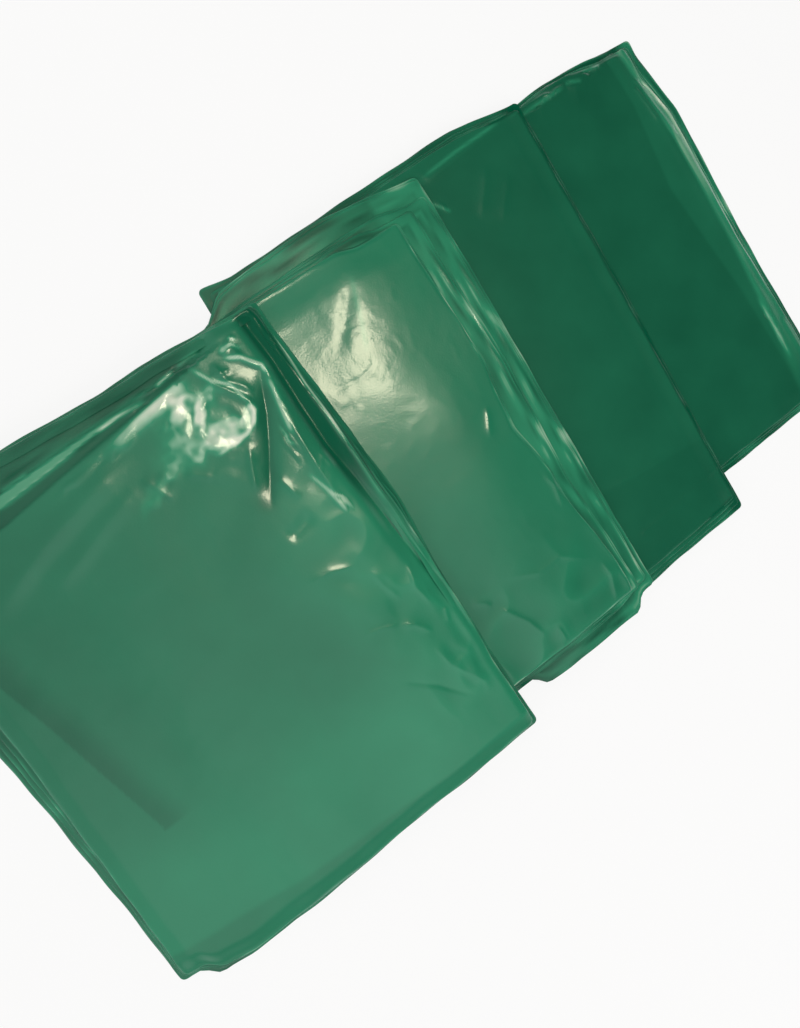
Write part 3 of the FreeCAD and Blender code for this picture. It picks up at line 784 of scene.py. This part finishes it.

# %% [markdown]
# The right and lower parts of this bag are painted paler, a painted sheen. Painted highlight and
# sheen lie along the ring and on the band beside the first step, where the film is finely crumpled.

# %% Top bag: tone
# the inner fold on the left, the painted shade along the lower edge, the painted shade inside the ring
INNER_EDGE = [(-247, 70), (-246, 39), (-240, 9), (-235, -24), (-228, -67)]
LOW_BAND = [(-270, -124), (-245, -129), (-218, -133), (-190, -137), (-100, -143), (-20, -147)]
CRESCENT = [(-59, 88), (-66, 78), (-73, 66), (-82, 48), (-90, 40)]
# painted highlights: hair lines of glint along creases, step edges and the roll's crest
GLINT_LINES = [
    # points, width, strength
    ([(-36, 122), (-36, 113), (-36.7, 100), (-37.7, 80), (-36.8, 62), (-36.6, 40)], 1.1, 2.2),
    ([(-37, 70), (-36.6, 42), (-37.2, 28), (-37, 0)], 1.0, 0.9),
    ([(-190, 116), (-133, 119), (-83.5, 120.5)], 0.9, 0.6),
    ([(-109, 116), (-118, 116), (-126, 116.1), (-140, 115)], 1.0, 1.5),
    ([(-200, 108.5), (-184, 109.6), (-167, 111.4), (-148, 113.4)], 0.9, 0.8),
    ([(-192, 116), (-175, 117)], 0.9, 0.9),
    ([(-103, 118.6), (-96, 120), (-90, 120.6)], 1.0, 1.5),
    ([(-89, 121.4), (-82, 122.4), (-74, 122)], 0.9, 1.0),
    ([(-84, 118.5), (-78, 106.6), (-71.4, 100.3), (-69.5, 93.8), (-68, 86)], 1.1, 1.4),
    ([(-68, 113), (-66, 112.7), (-58.9, 108.8), (-51.9, 100.1), (-52, 93)], 1.15, 1.8),
    ([(-69, 89), (-68, 83), (-72, 78), (-78, 75), (-90, 74)], 1.3, 2.0),
    ([(-64, 42), (-60, 28), (-57, 10)], 1.1, 0.9),
    ([(-52, 96), (-54, 86), (-57, 72), (-59, 60)], 1.5, 1.3),
]
# painted sheen: a pale band beside the first step, brighter towards its right end
SHEEN_BAND = [(-180, 100.5), (-167, 103), (-139, 105.8), (-125, 108.5), (-114.5, 110.5), (-95, 113.5)]
SHEEN_SPOTS = [
    # centre, half sizes, angle, strength: painted highlight and sheen on the crumpled film
    ((-99, 103.5), (7.5, 4.5), 40, 2.2), ((-92.5, 95.5), (8.0, 2.4), 52, 2.4),
    ((-87.5, 81.5), (11.0, 6.5), -6, 1.9), ((-73, 81), (6.0, 4.0), 60, 1.8),
    ((-89, 75.5), (8.0, 2.4), 2, 1.3), ((-110, 85), (15.0, 11.0), 20, 0.5),
    ((-101, 80), (8.0, 2.6), 8, 0.6), ((-57.2, 119.2), (2.6, 1.2), -10, 2.4),
    ((-60, 115), (5.0, 1.6), -15, 1.8), ((-99, 94), (20.0, 16.0), 30, 0.7),
    ((-129, 76), (14.0, 4.0), 25, 0.7), ((-85, 103), (7.0, 4.0), -30, 0.8),
    ((-57, 20), (7.0, 1.2), 104, 1.2), ((-61, 63), (7.0, 1.2), 96, 1.2),
]


def top_tone(x, y, z, rim):
    # painted sheen: paler to the right and towards the lower edge, over a base tone that is partly painted
    # sheen
    right = smooth((x + 120.0) / 70.0) * smooth((70.0 - y) / 60.0)
    tone = 0.6 + 0.42 * np.maximum(right, smooth((-30.0 - y) / 80.0))
    # deeper beside the inner fold on the left, and painted shade in the upper left corner
    outside = -line_side(x, y, INNER_EDGE[::-1])
    tone -= 0.32 * smooth(outside) * smooth(1.0 - (outside - 3.0) / 16.0) * smooth((y + 70.0) / 2.0)
    tone -= 0.1 * smooth((-170.0 - x) / 60.0) * smooth((y + 40.0) / 60.0)
    # between the steps: a deeper strip, a wedge of painted sheen, and streaks partly of painted reflection
    above = smooth(line_side(x, y, STEPS[0][0]) / 1.5 + 0.5)
    tone -= 0.5 * above * smooth((-70.0 - x) / 20.0)
    beyond = line_side(x, y, STEPS[2][0])
    sheen_wedge = smooth(line_side(x, y, STEPS[1][0]) / 1.2) * smooth(-beyond / 1.2)
    tone += 1.25 * sheen_wedge * smooth((-104.0 - x) / 30.0)
    streaks = rumple(beyond * 7.0, x, 13.0, 33) - 0.45
    tone += 0.5 * smooth(beyond) * smooth((-95.0 - x) / 30.0) * streaks
    # painted shade inside the ring and in the roll's groove, which also loses its gloss; painted sheen on
    # the roll
    tone -= 0.35 * np.exp(-(path_distance(x, y, CRESCENT)[0] / 4.5) ** 2)
    roll = line_side(x, y, ROLL_GROOVE)
    tone = tone + (-0.2 - tone) * smooth((roll + 5.5) / 4.5) * smooth((y + 15.0) / 55.0)
    tone += 0.35 * smooth((roll - 6.0) / 3.0) * smooth((y + 15.0) / 55.0)
    # painted highlight and sheen: the hair lines, the pale band and the crumpled spots
    for points, width, strength in GLINT_LINES:
        tone += strength * glint_line(x, y, points, width)
    distance, side, along = path_distance(x, y, SHEEN_BAND)
    soft = np.exp(-(distance / np.where(side > 0.0, 1.6, 4.5)) ** 2)
    tone += (0.4 * along + 1.7 * smooth((along - 0.42) / 0.3)) * soft * (0.7 + 0.6 * rumple(x, y, 6.0, 38))
    wx, wy = x + 5.0 * air(x, y, 5.0, 34), y + 5.0 * air(x, y, 5.0, 35)
    mottle = 0.6 + 0.6 * crumple(x, y, 5.0, 36) * rumple(x, y, 2.5, 37)
    for centre, size, angle, strength in SHEEN_SPOTS:
        tone += strength * mottle * spot(wx, wy, centre, size, angle)
    # painted shade along the lower edge, painted light and shade over the small panes on the right
    tone -= 0.28 * smooth(-line_side(x, y, LOW_BAND) / 4.0 + 0.5)
    tone += 0.3 * hill(x, y, *PUCKER) * panes(x, y, 17.0, 13)
    return tone + pale_edge_and_glint(x, y, rim, 31)


dress("top_bag", top_relief, top_tone, fold_tone(0.4, 21), 0.95, 0.0, 100)

# %% [markdown]
# ## The second bag
# The second bag is flatter. One strong ridge comes down from its upper edge and takes the lamp's
# brightest reflection, with a painted highlight along it, and its folds fan out along the right so
# that four edges can be counted, their edges painted paler with sheen.

# %% Second bag
SECOND_CREASES = [
    ([(-27, -73), (-17, -82)], 0.5, 1.6, 0.0),
    ([(-4, -73), (16, -83), (32, -83), (51, -98)], 0.4, 1.6, 0.3),
    ([(-17, -83), (-5, -103), (0, -119)], 0.7, 2.4, -0.3),
    ([(8, -115), (8, -130)], 0.8, 1.4, 0.0),
    ([(53, -100), (54, -112), (48, -129)], 0.6, 1.6, 0.2),
    ([(65, -116), (61, -129)], 0.5, 1.2, 0.0),
    ([(50, -36), (53, -46), (50, -61)], 0.5, 1.4, 0.2),
    ([(43, 15), (34, -2)], 0.5, 1.6, 0.2),
]
SECOND_SWELLS = [
    ([(16, 118), (7, 103), (-4, 92), (-16, 80)], -0.3, 4.0),
    ([(20, 60), (25, 0), (20, -60)], 0.5, 20.0),
]
SWOOSH = [(-30, 66), (-22, 68), (-10, 66), (-1, 68), (4, 75)]
SECOND_FACETS = [
    ((-14, 62), (14, 5), -2, 0.3),
    ((63, 84), (11, 1.5), -82, 1.0), ((75, 78), (8, 1.5), -80, 1.0), ((65, 46), (18, 1.2), -88, 0.8),
    ((73, 30), (22, 1.2), -89, 0.7), ((67, -12), (24, 1.2), -90, 0.7), ((76, -40), (24, 1.0), -90, 0.6),
]


def low_end(y):
    """Weight of the crumpled end near the lower edge."""
    return smooth((-60.0 - y) / 40.0)


def second_relief(x, y):
    lift = drawn(x, y, SECOND_CREASES, SECOND_SWELLS)
    peak = hill(x, y, (2.0, 92.0), (30.0, 30.0))
    lift += 0.9 * low_end(y) * panes(x, y, 17.0, 41) + 0.15 * peak * panes(x, y, 13.0, 42)
    lift += 0.4 * air(x, y, 50.0, 43) + 0.12 * air(x, y, 18.0, 44)
    lift += 0.0014 * (x - 2.0) * (y - 80.0) * hill(x, y, (2.0, 80.0), (35.0, 40.0))
    lift += 0.05 * panes(x, y, 8.0, 47)
    lift = flat_spots(x, y, lift, "second_bag", SECOND_FACETS)
    return lift + swell(x, y, SWOOSH, -0.1, 1.2) + 0.05 * peak * panes(x, y, 4.0, 45)


def second_tone(x, y, z, rim):
    # painted light and shade on the crumpled panes, a painted highlight along the ridge, and a base tone
    # partly painted sheen
    facets = 0.3 * low_end(y) * panes(x, y, 17.0, 41)
    ridge_glint = glint_line(x, y, [(17, 116), (12, 104), (7, 90), (0, 74)], 1.6)
    return 0.68 + 0.1 * smooth((y - 85.0) / 40.0) + facets + 0.5 * ridge_glint + 1.5 * pale_edge_and_glint(x, y, rim, 46)


# the folds right of x = 46 are painted paler: painted sheen on the fanned edges
dress("second_bag", second_relief, second_tone, fold_tone(0.42, 22, 46.0, 0.42), 1.05, 100.0, 200)

# %% [markdown]
# ## The third bag
# Almost flat, so it shows the film's own deep green. A weld line crosses it near its lower edge:
# two films melted together leave a fine raised bead.

# %% Third bag
THIRD_CREASES = [
    ([(81, 146), (87, 136), (118, 139), (150, 142)], 0.5, 1.2, 0.0),
    ([(123, 127), (112, 114), (101, 102)], 0.45, 3.0, 0.3),
    ([(134, 118), (123, 106), (112, 94)], 0.35, 3.0, -0.3),
    ([(81, -70), (106, -74), (132, -78)], 0.35, 1.4, 0.4),
]
THIRD_FACETS = [((53, 141), (24, 1.0), -6, 0.9), ((84, 120), (6, 0.8), -49, 0.8)]
WELD = [(86, -106.5), (120, -105.5), (161, -104)]
# painted highlights: hair lines of glint
THIRD_LINES = [
    [(28, 146), (53, 143.5), (76, 140)], [(79, 125), (84, 120), (89, 114)],
    [(81, 138), (110, 141), (146, 143)],
]


def third_relief(x, y):
    lift = crease(x, y, WELD, 0.28, 0.5, 0.0, 0.05) + drawn(x, y, THIRD_CREASES)
    lift += 0.4 * air(x, y, 55.0, 51) + 0.1 * air(x, y, 20.0, 52)
    return flat_spots(x, y, lift, "third_bag", THIRD_FACETS)


def third_tone(x, y, z, rim):
    tone = np.full_like(x, 0.2)
    tone -= 0.06 * smooth(line_side(x, y, [(170, -83), (60, -66)]) / 3.0)
    # painted sheen in a wedge along the upper edge, and painted glints along the listed lines
    sheen_wedge = smooth(line_side(x, y, [(60, 131), (87, 134), (150, 141)]) / 3.0)
    for points in THIRD_LINES:
        tone += 0.8 * glint_line(x, y, points, 0.9)
    tone += 0.16 * sheen_wedge + 0.12 * smooth(1.0 - (y + 132.0) / 6.0) + 0.14 * smooth((x - 140.0) / 20.0)
    # painted shade: a dark line along the right rim, without gloss
    painted_rim_shade = 0.7 * np.exp(-(rim / 1.3) ** 2) * smooth((x - 130.0) / 10.0)
    return tone + 0.3 * pale_edge_and_glint(x, y, rim, 53) - painted_rim_shade


# the folds right of x = 150 are painted deeper: painted shade beside the right rim
dress("third_bag", third_relief, third_tone, fold_tone(0.22, 23, 150.0, -0.4), 1.05, 122.0, 300)

# %% [markdown]
# ## The bottom bag
# It lies under the others and only its right part shows. Its right side is folded back in a strip
# a few plies thick, which glints along its turn: the lamp's reflection on flat spots, with painted
# sheen and painted glints.

# %% Bottom bag
BOTTOM_CREASES = [
    ([(146, 140), (160, 143), (180, 143), (196, 141)], 0.8, 1.5, 0.2),
    ([(194, 150), (209, 145), (217, 139), (232, 141), (244, 139)], 0.7, 1.5, 0.2),
    ([(196, 141), (205, 137), (214, 141)], 0.5, 1.6, 0.0),
    ([(240, 128), (243, 114), (246, 98), (248, 80)], 0.8, 1.3, 0.3),
    ([(238, 122), (241, 108), (243, 94)], 0.6, 1.1, -0.2),
    ([(247, 104), (251, 70), (254, 20), (257, -40)], 0.6, 1.6, 0.3),
    ([(256, -50), (258, -80), (259, -104)], 0.7, 1.4, 0.3),
]
BOTTOM_SWELLS = [
    ([(241, 125), (247, 60), (250, -30), (252, -100)], 0.7, 4.0),
]
BOTTOM_FACETS = [
    ((178, 141), (18, 1.0), 3, 1.0), ((202, 141), (4, 0.9), -26, 1.0), ((217, 142), (6, 0.9), -8, 1.0),
    ((230, 140), (2, 0.8), -5, 1.0), ((249, 112), (10, 0.9), -73, 1.0), ((252, 101), (10, 1.3), -84, 1.0),
    ((254, 79), (11, 1.8), -87, 0.7), ((247, -55), (16, 1.0), -86, 0.6),
]
# painted highlights: hair lines of glint
BOTTOM_LINES = [
    [(156, 140), (178, 140.5), (197, 141.5)], [(196, 142.5), (202, 141), (208, 139)],
    [(210, 143.5), (217, 142.5), (225, 141)], [(246, 122), (250, 110), (253, 96)],
    [(249, 116), (252, 101), (254, 82), (255, 62)], [(246, -30), (247, -55), (248, -80)],
]
STRIP_EDGE = [(242, -140), (242, -78), (238, -21), (232, 19), (227, 57), (232, 111), (228, 160)]
TURN_EDGE = [(245, -140), (246, -89), (249, -38), (250, 12), (249, 81), (245, 117), (239, 160)]


def bottom_relief(x, y):
    lift = drawn(x, y, BOTTOM_CREASES, BOTTOM_SWELLS, 0.15)
    lift += 0.5 * smooth((y - 120.0) / 20.0) * panes(x, y, 12.0, 61)
    lift += 0.4 * air(x, y, 55.0, 62) + 0.1 * air(x, y, 20.0, 63)
    return flat_spots(x, y, lift, "bottom_bag", BOTTOM_FACETS)


def bottom_tone(x, y, z, rim):
    strip = smooth(-line_side(x, y, STRIP_EDGE) / 3.0 + 0.5)
    # painted sheen along the turn, uneven, and painted glints along the listed lines
    turned = smooth(-line_side(x, y, TURN_EDGE) / 4.0 + 1.0)
    lines = sum(glint_line(x, y, points, 1.2) for points in BOTTOM_LINES)
    turned = turned * smooth((y + 110.0) / 60.0) * (0.6 + 0.8 * rumple(x * 4.0, y, 24.0, 65))
    turned = turned * (0.7 + 0.5 * smooth((y - 20.0) / 60.0))
    return 0.15 + 0.8 * lines + 0.18 * strip + turned + 0.5 * pale_edge_and_glint(x, y, rim, 64)


# the folds right of x = 240 are painted paler: painted sheen along the turn
dress("bottom_bag", bottom_relief, bottom_tone, fold_tone(0.2, 24, 240.0, 0.45), 1.05, 125.0, 400)

# %% [markdown]
# ## Table and studio
# The table is plain white. To the camera and in the film's mirror it is mostly an even white glow,
# with a share of matt white that holds the soft shadow round the bags.

# %% Table
TABLE_GLOW = 0.85  # share of the even glow


def table_top():
    material = bpy.data.materials.new("white_table")
    material.use_nodes = True
    tree = material.node_tree
    tree.nodes.clear()
    path = add_node(tree, "LightPath")
    seen = add_node(tree, "Math", {"operation": "ADD"}, {},
                    {0: (path, "Is Camera Ray"), 1: (path, "Is Glossy Ray")})
    seen = add_node(tree, "Math", {"operation": "ADD", "use_clamp": True}, {},
                    {0: (seen, "Value"), 1: (path, "Is Transmission Ray")})
    share = add_node(tree, "Math", {"operation": "MULTIPLY"}, {1: TABLE_GLOW},
                     {0: (seen, "Value")})
    matt = add_node(tree, "BsdfDiffuse", {}, {"Color": linear("F5F5F5")})
    white = add_node(tree, "Emission", {}, {"Color": linear("FFFFFF"), "Strength": 1.0})
    mixed = add_node(tree, "MixShader", {}, {},
                     {0: (share, "Value"), 1: (matt, "BSDF"), 2: (white, "Emission")})
    add_node(tree, "OutputMaterial", {}, {}, {"Surface": (mixed, "Shader")})
    return material


bpy.ops.mesh.primitive_plane_add(size=8.0, location=(0.0, 0.0, 0.0))
table = bpy.context.object
table.name = "table"
table.data.materials.append(table_top())
print("table", table.dimensions[:])

# %% [markdown]
# The lamps are square panels. Three wide boxes light the film but are hidden from its mirror. The
# warm lamp and the softer shade behind it do mirror: they give the bright patch and the glints.

# %% Lamps
LAMPS = [
    # name, place, aim, size, watts, colour
    ("left_box", (-1.1, -0.1, 0.45), (0.0, 0.0, 0.0), 0.6, 2.0, "FFFFFF"),
    ("front_box", (0.1, -1.0, 0.75), (0.0, 0.0, 0.0), 0.8, 5.2, "FFFFFF"),
    ("back_box", (0.0, 1.0, 0.7), (0.0, 0.0, 0.0), 0.8, 2.8, "FFFFFF"),
    ("warm_lamp", WARM_LAMP, (-0.04, 0.083, 0.0), 0.15, 1.3, "FFF2D0"),
    ("warm_shade", WARM_LAMP + Vector((0.0, 0.0, 0.01)), (-0.04, 0.083, 0.0), 0.24, 0.55, "FFF6E0"),
]
for name, place, aim, size, watts, colour in LAMPS:
    lamp = bpy.data.objects.new(name, bpy.data.lights.new(name, "AREA"))
    lamp.data.size = size
    lamp.data.energy = watts
    lamp.data.color = linear(colour)[:3]
    lamp.location = place
    lamp.visible_glossy = name.startswith("warm")
    lamp.rotation_euler = (Vector(aim) - Vector(place)).to_track_quat("-Z", "Y").to_euler()
    bpy.context.scene.collection.objects.link(lamp)
    print(name, watts, "W")

# %% [markdown]
# The room is a plain studio, pale near the table and dark overhead. Two soft glows high up, a pale
# wall to the left and a window on the near side, give the flat film its sheen.

# %% Room
PALE_WALL = (-0.55, 0.0, 0.83)
WINDOW = (-0.084, -0.45, 0.889)
world = bpy.data.worlds.new("studio")
bpy.context.scene.world = world
world.use_nodes = True
sky = world.node_tree
sky.nodes.clear()
direction = add_node(sky, "TexCoord")
split = add_node(sky, "SeparateXYZ", {}, {}, {"Vector": (direction, "Generated")})
low_glow = ramp(sky, split, "Z", (0.15, 0.5), (0.75, 0.04))


def glow_towards(aim, start, full, strength):
    """A smooth glow round one direction, from one cosine to another."""
    cosine = add_node(sky, "VectorMath", {"operation": "DOT_PRODUCT"}, {1: aim},
                      {0: (direction, "Generated")})
    return ramp(sky, cosine, "Value", (start, full), (0.0, strength), "SMOOTHSTEP")


wall = glow_towards(PALE_WALL, 0.4, 0.95, 0.38)
window = glow_towards(WINDOW, 0.88, 1.0, 0.35)
with_window = add_node(sky, "Math", {"operation": "ADD"}, {},
                       {0: (low_glow, "Result"), 1: (window, "Result")})
total = add_node(sky, "Math", {"operation": "ADD"}, {},
                 {0: (with_window, "Value"), 1: (wall, "Result")})
glow = add_node(sky, "Background", {}, {"Color": linear("FFFFFF")},
                {"Strength": (total, "Value")})
add_node(sky, "OutputWorld", {}, {}, {"Surface": (glow, "Background")})
print("room set")
